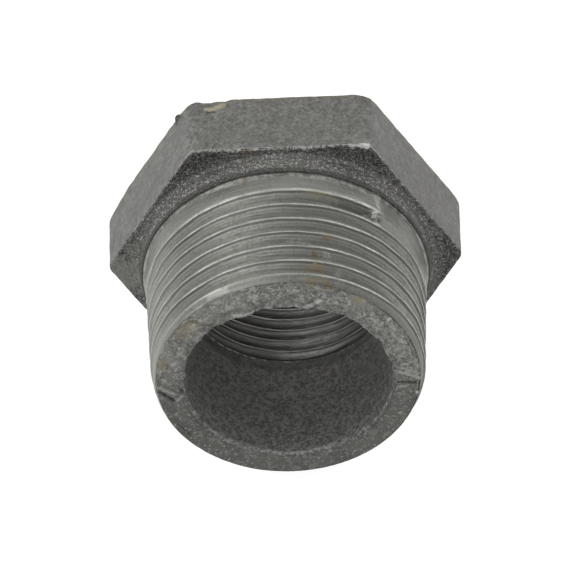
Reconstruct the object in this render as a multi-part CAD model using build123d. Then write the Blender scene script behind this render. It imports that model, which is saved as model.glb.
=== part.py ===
from build123d import *

import math
import os

# Hex reducing bushing in cast malleable iron, R 1 outside and Rp 3/4 inside, in one piece.
# The pipe axis is Y. The hexagon's outer face points to +Y and the male end points to -Y.
# One flat of the hexagon is up and one is down, and the origin is on the axis at mid length.
# All sizes are in millimetres.

# Overall
overall_length = 29.3

# Hexagon head, as cast
hex_across_flats = 37.0
hex_height = 9.2
hex_corner_radius = hex_across_flats / 37
hex_crown_share = 41 / 37       # diameter of the crown's circle on the outer face, as a share of the flats' distance
hex_crown_angle = 30.0
hex_shoulder_edge_chamfer = 0.3
hex_face_edge_radius = hex_corner_radius * 0.3

# Male taper thread, R 1, of Whitworth form with its crests and roots left flat
pipe_taper = 1 / 16             # on the diameter
thread_flank_angle = 27.5
male_thread_pitch = 25.4 / 11
male_groove_depth = 1.2         # on the radius, from crest to root
male_groove_root = 0.45         # width of the flat at the bottom of the groove
male_runout_length = 3.5        # from the collar to the middle of the groove where it stops
male_runout_angle = 38.0        # round the axis, from the flat that is up towards +X
male_gauge_diameter = 33.249
male_gauge_length = 10.4        # from the end of the fitting to the gauge plane
male_lead_chamfer_depth = 0.8   # on the radius
male_lead_chamfer_length = 1.1

# Cast collar between the hexagon and the male thread
collar_length = 2.5
collar_stock = 0.5              # left by the thread's tools, on the radius
collar_draft_angle = 6.0
collar_root_chamfer = 0.4
collar_edge_chamfer = 0.3

# Female parallel thread, Rp 3/4: the crest line of the thread, without its grooves
female_minor_diameter = 24.117
female_major_diameter = 26.441
female_thread_length = 14.9     # from the outer face to the last full crest
female_mouth_clearance = 0.4    # the countersink's diameter over the thread's major diameter
female_countersink_angle = 90.0

# Cored waterway from the end of the female thread to the male end
waterway_mouth_diameter = 24.4
waterway_mouth_chamfer = 0.35

# Places along the axis
outer_face_y = overall_length / 2
male_end_y = -overall_length / 2
shoulder_y = outer_face_y - hex_height
collar_end_y = shoulder_y - collar_length


def male_crest_radius(y):
    """The radius of the male thread's crest cone at one place along the axis."""
    from_end = y - male_end_y
    return male_gauge_diameter / 2 + (from_end - male_gauge_length) * pipe_taper / 2


def turned(outline):
    """A solid of revolution about the pipe axis, from a face in the plane of X and Y."""
    return revolve(outline, axis=Axis.Y, revolution_arc=360)


def outline_of(*points):
    """A closed face from its corners, each given as (radius, y)."""
    return make_face(Polyline(*points, close=True))


def corner_at(outline, point):
    """The corner of an outline that lies at a point."""
    return outline.vertices().sort_by_distance(Vector(*point))[0]


def hexagon_head():
    """The hexagon with rounded corners, its outer face crowned at the corners."""
    # A plane looking along -Y, with its X along the part's X, keeps a flat of the hexagon up.
    outer_face = Plane(origin=(0, outer_face_y, 0), x_dir=(1, 0, 0), z_dir=(0, -1, 0))
    hexagon = RegularPolygon(hex_across_flats / 2, 6, major_radius=False)
    hexagon = fillet(hexagon.vertices(), hex_corner_radius)
    prism = extrude(outer_face * hexagon, amount=hex_height)

    crown_radius = hex_across_flats * hex_crown_share / 2
    fall = (hex_across_flats - crown_radius) * math.tan(math.radians(hex_crown_angle))
    crown = turned(outline_of(
        (0, outer_face_y),
        (crown_radius, outer_face_y),
        (hex_across_flats, outer_face_y - fall),
        (hex_across_flats, shoulder_y - fall),
        (0, shoulder_y - fall),
    ))
    head = prism & crown

    shoulder_edges = head.faces().sort_by(Axis.Y)[0].outer_wire().edges()
    head = chamfer(shoulder_edges, hex_shoulder_edge_chamfer)
    face_edges = head.faces().sort_by(Axis.Y)[-1].outer_wire().edges()
    return fillet(face_edges, hex_face_edge_radius)


def male_groove():
    """The groove of the male thread: one section swept along a conical helix, past the male end."""
    stop_y = collar_end_y - male_runout_length
    start_y = male_end_y - male_thread_pitch / 2
    turns = (stop_y - start_y) / male_thread_pitch
    cone_angle = math.degrees(math.atan(pipe_taper / 2))
    path = Helix(male_thread_pitch, stop_y - start_y, male_crest_radius(start_y), cone_angle=cone_angle)

    # The section stands proud of the crest a little, so that it leaves no skin behind.
    proud = male_thread_pitch / 30
    root = male_groove_root / 2
    mouth = root + (male_groove_depth + proud) * math.tan(math.radians(thread_flank_angle))
    section = make_face(Polyline(
        (proud, -mouth), (proud, mouth), (-male_groove_depth, root), (-male_groove_depth, -root), close=True
    ))
    section = Plane(origin=path @ 0, x_dir=(1, 0, 0), z_dir=path % 0) * section
    groove = sweep(section, path=path, is_frenet=True)

    # The helix is drawn about Z. Its start is turned so that its end lies at the run-out angle.
    start_angle = math.radians(male_runout_angle - 360 * turns)
    start = Plane(
        origin=(0, start_y, 0),
        x_dir=(math.sin(start_angle), 0, math.cos(start_angle)),
        z_dir=(0, 1, 0),
    )
    return start * groove


def shank():
    """The collar and the tapered body that carries the male thread, as one turned solid."""
    collar_end_radius = male_crest_radius(collar_end_y) + collar_stock
    collar_radius = collar_end_radius + collar_length * math.tan(math.radians(collar_draft_angle))
    flare_radius = collar_radius + collar_root_chamfer
    buried_y = outer_face_y - hex_height / 2
    chamfer_y = male_end_y + male_lead_chamfer_length
    collar_root = (collar_radius, shoulder_y)
    collar_edge = (collar_end_radius, collar_end_y)
    outline = outline_of(
        (0, buried_y),
        (flare_radius, buried_y),
        (flare_radius, shoulder_y),
        collar_root,
        collar_edge,
        (male_crest_radius(collar_end_y), collar_end_y),
        (male_crest_radius(chamfer_y), chamfer_y),
        (male_crest_radius(male_end_y) - male_lead_chamfer_depth, male_end_y),
        (0, male_end_y),
    )
    outline = chamfer(corner_at(outline, collar_root), collar_root_chamfer)
    outline = chamfer(corner_at(outline, collar_edge), collar_edge_chamfer)
    return turned(outline) - male_groove()


def bore():
    """The hole right through: countersink, thread crest line, then the tapered waterway."""
    thread_radius = female_minor_diameter / 2
    mouth_radius = (female_major_diameter + female_mouth_clearance) / 2
    countersink_depth = (mouth_radius - thread_radius) / math.tan(math.radians(female_countersink_angle / 2))
    thread_end_y = outer_face_y - female_thread_length
    return turned(outline_of(
        (0, outer_face_y),
        (mouth_radius, outer_face_y),
        (thread_radius, outer_face_y - countersink_depth),
        (thread_radius, thread_end_y),
        (waterway_mouth_diameter / 2, male_end_y),
        (0, male_end_y),
    ))


def hex_bushing():
    """The whole casting, bored through, with the mouth of its waterway chamfered."""
    body = hexagon_head() + shank() - bore()
    male_end_face = body.faces().sort_by(Axis.Y)[0]
    return chamfer(male_end_face.inner_wires()[0].edges(), waterway_mouth_chamfer)


casting = hex_bushing()
os.makedirs("parts", exist_ok=True)
export_step(casting, "parts/hex_bushing.step")
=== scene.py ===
import math
from functools import reduce

import bmesh
import bpy
import numpy as np
from bpy.props import FloatProperty, FloatVectorProperty, IntProperty, PointerProperty
from mathutils import Matrix, Vector


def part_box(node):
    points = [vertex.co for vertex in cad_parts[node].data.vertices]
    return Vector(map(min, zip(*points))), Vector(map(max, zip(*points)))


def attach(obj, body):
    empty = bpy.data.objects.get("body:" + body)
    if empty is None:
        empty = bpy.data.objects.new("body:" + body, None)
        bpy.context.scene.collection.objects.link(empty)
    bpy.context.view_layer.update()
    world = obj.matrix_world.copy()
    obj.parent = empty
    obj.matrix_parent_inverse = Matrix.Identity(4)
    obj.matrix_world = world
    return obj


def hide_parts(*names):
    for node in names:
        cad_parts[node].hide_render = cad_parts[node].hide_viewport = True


bl_info = {
    "name": "Hex reducing bushing",
    "version": (1, 0, 0),
    "blender": (4, 5, 0),
    "location": "3D View > Sidebar > Bushing",
    "description": "A malleable iron hex bushing: cast blank, threads, finish and stage",
    "category": "Object",
}

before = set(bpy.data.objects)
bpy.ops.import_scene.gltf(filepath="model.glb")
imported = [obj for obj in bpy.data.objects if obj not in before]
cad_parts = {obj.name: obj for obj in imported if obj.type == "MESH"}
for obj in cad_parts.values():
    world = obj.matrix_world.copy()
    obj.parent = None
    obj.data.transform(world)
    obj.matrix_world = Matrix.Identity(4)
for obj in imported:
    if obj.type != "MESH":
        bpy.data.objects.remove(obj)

# The pipe axis is Y. The hexagon's outer face points to +Y and the male end to -Y.
# Angles round the axis are measured from +Z, where the hexagon has a flat, towards +X.
# Lengths are in metres, written as a number of millimetres times MM.
MM = 0.001
NODE = "hex_bushing"
BODY = "root"
PIECE = "bushing_casting"
IRON = "malleable_iron_finish"
LOW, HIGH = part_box(NODE)
ACROSS_FLATS = HIGH.z - LOW.z
OUTER_FACE_Y = HIGH.y
MALE_END_Y = LOW.y
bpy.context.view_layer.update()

# The blank's skin is a net of columns round the axis and rows along its section.
COLUMNS = 336
MALE_ROWS_PER_PITCH = 14
FEMALE_ROWS_PER_PITCH = 10
CORNER_SHARE = 0.2              # of each half flat's columns, gathered on the rounded corner
MERGE = 0.002 * MM              # points of the blank nearer than this become one
BROKEN_SHARE = 0.1              # of the cored bore's length, at the mouth, where its edge is broken

# The mouth's broken edge, as waves (count round the axis, share, phase), and the thin flash that
# stands into the opening (angle and half width in degrees, reach in millimetres)
MOUTH_WAVES = ((7, 0.35, 0.4), (13, 0.35, 2.1), (23, 0.3, 4.0), (37, 0.3, 1.1), (61, 0.25, 5.2),
               (97, 0.2, 3.3))
MOUTH_FLASH = ((-24, 6, 0.6), (-14, 4, 0.2), (2, 6, 0.1), (12, 4, 0.3), (75, 5, 0.2),
               (97, 6, -0.25), (-50, 7, -0.2), (-112, 5, 0.2), (-165, 6, 0.2))

# Raised seams and sunk marks on the end face, in degrees round the axis and millimetres:
# (start angle, start radius, end angle, end radius, half width, height)
RIM_MARKS = (
    (86.8, 12.7, 93.4, 16.0, 0.42, 0.3),
    (82.3, 12.1, 90.5, 15.7, 0.26, 0.2),
    (100.0, 12.5, 98.0, 14.0, 0.36, 0.22),
    (96.6, 12.4, 96.6, 15.9, 0.24, -0.3),
    (84.6, 12.3, 88.0, 13.6, 0.2, -0.2),
    (-92.5, 15.6, -98.5, 13.6, 0.28, 0.24),
    (-95.5, 15.6, -104.0, 13.9, 0.2, -0.35),
    (-104.0, 13.98, -99.5, 12.6, 0.3, 0.2),
    (-97.5, 12.6, -94.5, 13.4, 0.22, -0.2),
    (65.3, 15.5, 72.0, 15.2, 0.13, -0.5),
    (72.0, 15.2, 80.3, 15.39, 0.13, -0.45),
    (100.6, 14.6, 102.6, 15.1, 0.15, 0.22),
    (99.8, 15.1, 101.2, 15.4, 0.15, 0.2),
    (52.9, 15.1, 54.6, 14.8, 0.16, 0.2),
    (14.0, 12.3, 17.0, 12.9, 0.24, 0.22),
    (17.0, 12.9, 20.0, 12.7, 0.26, 0.25),
    (30.0, 12.6, 32.0, 12.9, 0.16, 0.2),
    (-150.0, 12.9, -165.0, 13.1, 0.16, 0.16),
    (-128.0, 14.9, -118.0, 15.2, 0.16, -0.2),
)

# Chips and dents: (place, radius, depth), in millimetres
KNOCKS = (
    ((-8.4, 14.4, 18.5), 1.5, 0.45),
    ((-6.6, 14.6, 18.5), 1.0, 0.3),
    ((-18.9, 14.3, 8.3), 0.9, 0.35),
    ((-12.2, 14.3, 15.8), 0.7, -0.4),
    ((10.2, 5.5, 18.4), 0.9, 0.25),
    ((3.0, 5.5, 18.5), 0.8, 0.2),
    ((-5.5, 5.5, 18.5), 0.9, 0.2),
)

# Levels between one root and the next, with the crest at 0.5: 0 is painted shade in the root, 0.5 cut
# metal and 1 a painted highlight on the crest
OUTSIDE_LINES = ((0.0, 0.0), (0.05, 0.2), (0.12, 0.5), (0.2, 0.42), (0.24, 0.6), (0.28, 0.35),
                 (0.33, 0.55), (0.37, 0.08), (0.42, 0.05), (0.465, 0.9), (0.55, 0.95), (0.62, 0.55),
                 (0.72, 0.4), (0.86, 0.1), (0.94, 0.0), (1.0, 0.0))
INSIDE_LINES = ((0.0, 0.0), (0.15, 0.2), (0.3, 0.4), (0.4, 0.3), (0.47, 0.9), (0.53, 0.9),
                (0.6, 0.35), (0.78, 0.5), (0.9, 0.1), (1.0, 0.0))

# Stains, bright spots and patches of painted light and shade: (colour, centre, size, strength), in
# millimetres
STAINS = (
    ("rust", (-4.4, 2.4, 16.4), (0.35, 0.8, 1.0), 0.6),
    ("oil", (4.6, 0.2, 16.3), (2.0, 0.3, 1.2), 0.4),
    ("rust", (5.2, -6.9, 15.8), (0.9, 0.4, 1.2), 0.55),
    ("rust", (3.2, -8.2, 15.9), (1.1, 0.4, 1.2), 0.75),
    ("rust", (3.8, -9.9, 15.8), (0.6, 0.8, 1.2), 0.75),
    ("oil", (4.2, -12.0, 15.7), (2.1, 0.7, 1.2), 0.85),
    ("oil", (3.6, -14.0, 15.2), (1.9, 0.5, 1.0), 0.5),
    ("rust", (5.4, -14.2, 15.0), (0.9, 0.5, 1.0), 0.4),
    ("oil", (8.9, -14.5, 12.5), (1.3, 0.8, 0.7), 0.5),
    ("oil", (-11.5, -14.5, 8.8), (1.6, 0.8, 1.1), 0.4),
    ("rust", (-12.3, -14.5, 7.5), (0.7, 0.8, 0.6), 0.35),
    ("oil", (-15.1, -14.5, 2.7), (0.8, 0.8, 1.2), 0.45),
    ("crust_dark", (-8.3, 12.4, 18.5), (0.8, 0.2, 0.7), 0.7),
    ("chip", (-8.2, 12.9, 18.5), (1.1, 0.42, 0.7), 0.95),
    ("chip", (-7.2, 13.3, 18.5), (0.8, 0.38, 0.7), 0.9),
    ("chip", (-6.6, 13.7, 18.5), (0.5, 0.3, 0.7), 0.85),
    # By the male thread's run-out: painted shadow in the groove's end, painted highlights on its torn
    # wall and painted shade beyond it
    ("root", (8.6, -0.5, 13.0), (3.2, 1.15, 3.0), 0.55),
    ("crest", (10.9, -0.1, 12.2), (0.4, 1.1, 0.5), 0.65),
    ("crest", (11.3, 1.4, 12.0), (0.45, 0.9, 0.5), 0.6),
    ("crust_and_shade", (12.8, 1.4, 10.6), (1.7, 1.4, 2.2), 0.55),
    ("rust", (-3.8, 5.3, 18.2), (1.0, 0.6, 0.6), 0.25),
    ("speck_and_highlight", (10.2, 5.8, 18.4), (1.0, 0.45, 0.8), 0.85),
    ("speck_and_highlight", (8.6, 5.7, 18.4), (0.6, 0.3, 0.8), 0.6),
    # Lighter metal and painted highlights on the crests and the lead chamfer
    ("crest", (5.6, -9.7, 15.6), (1.6, 0.55, 1.2), 0.8),
    ("crest", (6.9, -11.8, 15.2), (1.6, 0.35, 1.2), 0.8),
    ("crest", (2.2, -7.4, 16.2), (2.2, 0.3, 1.2), 0.5),
    ("crest", (-4.0, -12.4, 15.6), (2.6, 0.3, 1.0), 0.45),
    ("crest", (-7.4, -13.8, 13.5), (2.4, 0.4, 1.3), 0.6),
    ("speck_and_highlight", (4.1, -14.6, 12.5), (0.5, 0.5, 0.3), 0.95),
    ("speck_and_highlight", (3.0, -14.6, 11.8), (0.6, 0.5, 0.3), 0.9),
    ("speck_and_highlight", (-5.6, -14.5, 10.6), (0.9, 0.5, 0.25), 0.7),
    ("speck_and_highlight", (15.2, -14.6, -3.2), (0.3, 0.5, 0.25), 0.9),
    ("speck_and_highlight", (12.2, -14.6, 9.0), (0.3, 0.5, 0.3), 0.8),
    ("speck_and_highlight", (-4.0, -14.6, -15.3), (0.3, 0.5, 0.25), 0.9),
    ("crust_dark", (-12.4, 14.3, 16.0), (0.8, 1.0, 0.9), 0.8),
    # Painted reflection of the floor on the shoulder's lower left
    ("thread", (-19.2, 5.4, -1.5), (2.6, 1.0, 4.0), 0.65),
    ("thread", (-18.2, 5.4, 3.0), (1.0, 1.0, 1.2), 0.4),
    ("thread", (-4.6, 2.9, -11.0), (1.4, 0.35, 0.8), 0.6),
    ("speck_and_highlight", (11.2, 2.6, 12.4), (0.5, 1.2, 0.6), 0.45),
)

# Whitworth thread form, as shares of the pitch
THREAD_DEPTH = 0.640327
THREAD_RADIUS = 0.137329
THREAD_HALF_ANGLE = math.radians(27.5)


# ---------------------------------------------------------------- sizes and colours

def length(name, description, millimetres):
    """A length property, kept in metres and shown in the user's units."""
    return FloatProperty(name=name, description=description, default=millimetres * MM,
                         unit="LENGTH", precision=6)


def angle(name, description, degrees):
    """An angle property."""
    return FloatProperty(name=name, description=description, default=math.radians(degrees),
                         unit="ROTATION")


def share(name, description, value):
    """A plain number, such as a factor or a share."""
    return FloatProperty(name=name, description=description, default=value)


def power(name, description, watts):
    """A lamp's power."""
    return FloatProperty(name=name, description=description, default=watts, unit="POWER")


def colour(name, description, value):
    """A linear colour property."""
    return FloatVectorProperty(name=name, description=description, default=value,
                               subtype="COLOR", size=3, min=0.0, max=1.0)


class BlankSizes(bpy.types.PropertyGroup):
    """The casting as it is before its threads are cut."""
    hex_height: length("Hex height", "Length of the hexagon along the axis", 9.2)
    hex_corner_radius: length("Hex corner radius", "Rounding of the hexagon's corners", 1.6)
    crown_share: share("Crown share", "Outer face's crown circle over the flats' distance", 41 / 37)
    crown_slip: length("Crown slip", "How much more the left corner is crowned", 1.5)
    crown_angle: angle("Crown angle", "Slope of the crowned corners", 30)
    face_edge: length("Face edge", "Worn rounding of the outer face's edge", 0.35)
    shoulder_edge: length("Shoulder edge", "Worn rounding of the shoulder's edge", 0.3)
    collar_length: length("Collar length", "Cast collar between hexagon and thread", 2.5)
    collar_stock: length("Collar stock", "Step from collar to thread, on the radius", 0.5)
    collar_draft: angle("Collar draft", "Slope of the collar", 6)
    collar_root: length("Collar root", "Fillet where the collar meets the shoulder", 0.35)
    gauge_diameter: length("Gauge diameter", "Male crest diameter at the gauge plane", 33.249)
    gauge_length: length("Gauge length", "From the male end to the gauge plane", 10.4)
    taper: share("Taper", "Change of the male diameter with length", 1 / 16)
    lead_depth: length("Lead chamfer depth", "Chamfer at the male end, on the radius", 0.8)
    lead_length: length("Lead chamfer length", "Chamfer at the male end, along the axis", 1.1)
    minor_diameter: length("Minor diameter", "Female crest diameter", 24.117)
    countersink_diameter: length("Countersink diameter", "At the outer face", 26.841)
    female_length: length("Female length", "From the outer face to the end of the thread", 14.9)
    mouth_diameter: length("Mouth diameter", "Mean diameter of the waterway's mouth", 24.4)
    mouth_drop: length("Mouth drop", "How far below the axis the cored mouth's middle lies", 0.5)
    mouth_oval: length("Mouth oval", "How much wider than high the cored mouth is", 0.3)
    mouth_ragged: length("Mouth raggedness", "Unevenness of the mouth's broken edge", 0.16)
    mouth_chamfer: length("Mouth chamfer", "Broken edge of the waterway's mouth", 0.22)
    seam_height: length("Seam height", "Room kept on the end face for its raised seams", 0.26)


class MaleThreadSizes(bpy.types.PropertyGroup):
    """The tapered outside thread, R 1."""
    pitch: length("Pitch", "Eleven threads to the inch", 25.4 / 11)
    first_crest: length("First crest", "Place on the axis of the crest nearest the collar, on top", 0.37)
    runout_turn: angle("Run-out angle", "Where round the axis the last groove stops", 40.5)
    runout_length: share("Run-out length", "Turns over which the last groove gets shallow", 0.5)
    runout_left: share("Run-out depth", "Share of the depth left where the groove stops", 1.0)
    end_fade: length("End fade", "Length over which the groove deepens at the male end", 1.0)
    end_left: share("End depth", "Share of the depth at the very end", 0.2)
    depth_share: share("Depth share", "Depth of the groove over the full thread form", 0.85)
    wear: length("Wear", "Uneven wear of the crests", 0.09)
    tool_ridge: length("Tool ridge", "Height of the ridge left on the leading flanks", 0.06)


class FemaleThreadSizes(bpy.types.PropertyGroup):
    """The parallel inside thread, Rp 3/4."""
    pitch: length("Pitch", "Fourteen threads to the inch", 25.4 / 14)
    last_crest: length("Last crest", "Place on the axis of the last crest, on the lower side", 0.6)
    runout_turn: angle("Run-out angle", "Where round the axis the last groove stops", -150)
    runout_length: share("Run-out length", "Turns over which the last groove gets shallow", 1.4)
    runout_left: share("Run-out depth", "Share of the depth left where the groove stops", 0.3)
    end_fade: length("End fade", "Length over which the groove deepens at the countersink", 0.6)
    end_left: share("End depth", "Share of the depth at the countersink", 0.0)
    depth_share: share("Depth share", "Depth of the groove over the full thread form", 0.95)
    wear: length("Wear", "Uneven wear of the crests", 0.07)
    tool_ridge: length("Tool ridge", "Height of the ridge left on the flanks", 0.02)


class SkinSizes(bpy.types.PropertyGroup):
    """The roughness of the sand-cast skin, in the mesh itself."""
    lump_height: length("Lump height", "Depth of the broad unevenness", 0.1)
    lump_size: length("Lump size", "Width of the broad unevenness", 2.6)
    pit_height: length("Pit height", "Depth of the sand grain", 0.07)
    pit_size: length("Pit size", "Width of the sand grain", 0.9)
    seed: IntProperty(name="Seed", description="Seed of the casting's unevenness", default=7)


class FinishColours(bpy.types.PropertyGroup):
    """The colours of the iron's several surfaces, and of the light and shade painted on them."""
    skin: colour("Cast skin", "Annealed casting skin", (0.18, 0.178, 0.166))
    skin_dark: colour("Skin pits", "Scale in the pits of the skin", (0.075, 0.074, 0.07))
    # Dark on the shoulder, partly as painted shade
    crust_and_shade: colour("Crust", "Burnt-on sand of the shoulder and collar", (0.1, 0.098, 0.094))
    # Also the painted shade at the collar's end and in the end face's sunk marks
    crust_dark: colour("Crust pits", "Shade between the burnt-on grains", (0.035, 0.034, 0.032))
    # Painted glints and highlights on grains, edges, raised marks and the mouth's edge, and a lighter
    # tone in places
    speck_and_highlight: colour("Specks", "Bare grains and rubbed edges that catch the light", (0.48, 0.478, 0.46))
    thread: colour("Cut metal", "Iron of the outside thread", (0.235, 0.236, 0.216))
    # Painted highlight on the outside thread's crests, and painted shade in its roots
    crest: colour("Crests", "Burnished crests", (0.43, 0.433, 0.405))
    root: colour("Thread roots", "Dirt and oil in the roots", (0.08, 0.08, 0.073))
    # The end face's colours: the upper one lighter as painted light, the lower one darker as painted
    # shade
    end_face: colour("End face", "The faced male end, above", (0.215, 0.213, 0.196))
    end_face_painted_shade: colour("Low end face", "The faced male end, below", (0.103, 0.102, 0.094))
    waterway: colour("Waterway", "Cored bore, black with scale", (0.115, 0.114, 0.108))
    waterway_grain: colour("Waterway grain", "Grains of the cored bore", (0.3, 0.297, 0.284))
    inside_thread: colour("Inside thread", "Oiled flanks of the female thread", (0.18, 0.178, 0.168))
    # Painted shade in the female thread's roots, and a painted highlight on its crests
    inside_root: colour("Inside roots", "Dirt in the female thread", (0.045, 0.044, 0.042))
    inside_crest: colour("Inside crests", "Rubbed crests of the female thread", (0.34, 0.338, 0.32))
    chip: colour("Chip", "Clay that clings in a chipped edge", (0.37, 0.345, 0.24))
    oil: colour("Oil stain", "Dried cutting oil", (0.24, 0.205, 0.125))
    rust: colour("Rust", "First rust", (0.2, 0.134, 0.072))


class StageSizes(bpy.types.PropertyGroup):
    """The floor, the lamps and the camera."""
    floor_size: length("Floor size", "Side of the square floor", 1600)
    azimuth: angle("Azimuth", "Camera's turn round Z from looking along +Y", -1.016)
    elevation: angle("Elevation", "Camera's height above the level", 44.085)
    roll: angle("Roll", "Camera's turn about its own axis", -2.867)
    distance: length("Distance", "From the camera to the point it looks at", 1273.7)
    lens: share("Lens", "Focal length in millimetres on a 36 mm sensor", 673.9)
    key_power: power("Key power", "Left soft box", 0.95)
    fill_power: power("Fill power", "Right soft box", 0.75)
    top_power: power("Top power", "Overhead soft box", 0.35)
    front_power: power("Front power", "Soft box before the male end", 0.7)
    ambient: share("Ambient", "Strength of the plain surround", 0.65)


GROUPS = {
    "bushing_blank": BlankSizes,
    "bushing_male": MaleThreadSizes,
    "bushing_female": FemaleThreadSizes,
    "bushing_skin": SkinSizes,
    "bushing_finish": FinishColours,
    "bushing_stage": StageSizes,
}


# ---------------------------------------------------------------- node trees

class Wiring:
    """Adds nodes to one tree, so that a formula reads as a line of calls. Functions call theirs w."""

    def __init__(self, tree):
        self.tree = tree

    def feed(self, socket, value):
        """Joins an output to a socket, or sets the socket's own value."""
        if isinstance(value, bpy.types.NodeSocket):
            self.tree.links.new(value, socket)
        else:
            socket.default_value = value

    def add(self, kind, inputs=None, output=0, **settings):
        """One node, its inputs given by name or number. Gives back one of its outputs."""
        node = self.tree.nodes.new(kind)
        for name, value in settings.items():
            setattr(node, name, value)
        for key, value in (inputs or {}).items():
            self.feed(node.inputs[key], value)
        return node.outputs[output]

    def math(self, operation, *terms):
        """A Math node over one to three terms."""
        return self.add("ShaderNodeMath", dict(enumerate(terms)), operation=operation)

    def times(self, *terms):
        return reduce(lambda first, second: self.math("MULTIPLY", first, second), terms)

    def plus(self, *terms):
        return reduce(lambda first, second: self.math("ADD", first, second), terms)

    def minus(self, first, second):
        return self.math("SUBTRACT", first, second)

    def over(self, first, second):
        return self.math("DIVIDE", first, second)

    def larger(self, *terms):
        return reduce(lambda first, second: self.math("MAXIMUM", first, second), terms)

    def size(self, value):
        return self.math("ABSOLUTE", value)

    def swing(self, value, reach):
        """A value between 0 and 1, turned into one that swings either side of nothing."""
        return self.times(self.minus(value, 0.5), reach)

    def vector(self, operation, first, second=None, scale=None, output=0):
        """A Vector Math node."""
        inputs = {0: first}
        if second is not None:
            inputs[1] = second
        if scale is not None:
            inputs["Scale"] = scale
        return self.add("ShaderNodeVectorMath", inputs, output, operation=operation)

    def seeded(self, position, step, seed):
        """Millimetres for a noise, moved on by a step for every seed."""
        millimetres = self.vector("SCALE", position, scale=1 / MM)
        return self.vector("ADD", millimetres, self.vector("SCALE", step, scale=seed))

    def xyz(self, x, y, z):
        return self.add("ShaderNodeCombineXYZ", {0: x, 1: y, 2: z})

    def split(self, vector):
        """The three parts of a vector."""
        node = self.tree.nodes.new("ShaderNodeSeparateXYZ")
        self.feed(node.inputs[0], vector)
        return node.outputs[0], node.outputs[1], node.outputs[2]

    def noise(self, vector, scale, detail=2.0, roughness=0.5, distortion=0.0):
        """Fractal noise between 0 and 1, as a number."""
        return self.add("ShaderNodeTexNoise", {
            "Vector": vector, "Scale": scale, "Detail": detail,
            "Roughness": roughness, "Distortion": distortion})

    def ramp(self, value, start, end, low=0.0, high=1.0, smooth=True):
        """A value mapped from start..end to low..high, and held there outside."""
        return self.add("ShaderNodeMapRange", {
            "Value": value, "From Min": start, "From Max": end, "To Min": low, "To Max": high},
            interpolation_type="SMOOTHSTEP" if smooth else "LINEAR")

    def bands(self, value, stops):
        """A level read from (place, level) stops along 0 to 1."""
        node = self.tree.nodes.new("ShaderNodeValToRGB")
        points = node.color_ramp.elements
        while len(points) < len(stops):
            points.new(0.5)
        for point, (at, level) in zip(points, stops):
            point.position = at
            point.color = (level, level, level, 1.0)
        self.feed(node.inputs[0], value)
        return node.outputs[0]

    def blend(self, amount, first, second):
        """Two colours mixed by an amount."""
        return self.add("ShaderNodeMix", {0: amount, 6: first, 7: second}, output=2, data_type="RGBA")

    def mean(self, amount, first, second):
        """Two numbers mixed by an amount."""
        return self.add("ShaderNodeMix", {0: amount, 2: first, 3: second}, data_type="FLOAT")

    def stored(self, name):
        """A number stored on the points, in a geometry tree."""
        return self.add("GeometryNodeInputNamedAttribute", {"Name": name}, data_type="FLOAT")

    def store(self, geometry, name, value):
        """The geometry with a number stored on its points."""
        return self.add("GeometryNodeStoreNamedAttribute", {
            "Geometry": geometry, "Name": name, "Value": value}, data_type="FLOAT", domain="POINT")


def group_tree(name, sockets):
    """A Geometry Nodes tree with a geometry in and out and the named inputs that it is given."""
    tree = bpy.data.node_groups.new(name, "GeometryNodeTree")
    tree.is_modifier = True
    tree.interface.new_socket(name="Geometry", in_out="INPUT", socket_type="NodeSocketGeometry")
    tree.interface.new_socket(name="Geometry", in_out="OUTPUT", socket_type="NodeSocketGeometry")
    for label, (kind, default) in sockets.items():
        socket = tree.interface.new_socket(name=label, in_out="INPUT", socket_type=kind)
        if default is not None:
            socket.default_value = default
    return tree


def finish_tree(w, geometry, material):
    """Ends a tree in Realize Instances and Set Material."""
    real = w.add("GeometryNodeRealizeInstances", {0: geometry})
    dressed = w.add("GeometryNodeSetMaterial", {"Geometry": real, "Material": material})
    out = w.tree.nodes.new("NodeGroupOutput")
    w.feed(out.inputs[0], dressed)


def empty_tree(owner):
    """The node tree of a material or a world, emptied."""
    owner.use_nodes = True
    owner.node_tree.nodes.clear()
    return owner.node_tree


def finish_shader(w, kind, shader):
    """Ends the tree of a Material or a World."""
    out = w.tree.nodes.new("ShaderNodeOutput" + kind)
    w.feed(out.inputs["Surface"], shader)


def apply_tree(piece, tree, values):
    """Runs a tree on a piece and keeps the result as the piece's plain mesh."""
    modifier = piece.modifiers.new(tree.name, "NODES")
    modifier.node_group = tree
    for item in tree.interface.items_tree:
        if item.in_out == "INPUT" and item.name in values:
            modifier[item.identifier] = values[item.name]
    depsgraph = bpy.context.evaluated_depsgraph_get()
    made = bpy.data.meshes.new_from_object(piece.evaluated_get(depsgraph), depsgraph=depsgraph)
    piece.modifiers.remove(modifier)
    old = piece.data
    piece.data = made
    made.name = piece.name
    bpy.data.meshes.remove(old)


def casting():
    """The bushing's mesh object, once its blank is made."""
    piece = bpy.data.objects.get(PIECE)
    if piece is None:
        raise RuntimeError("cast the blank first")
    return piece


# ---------------------------------------------------------------- the blank

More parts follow.
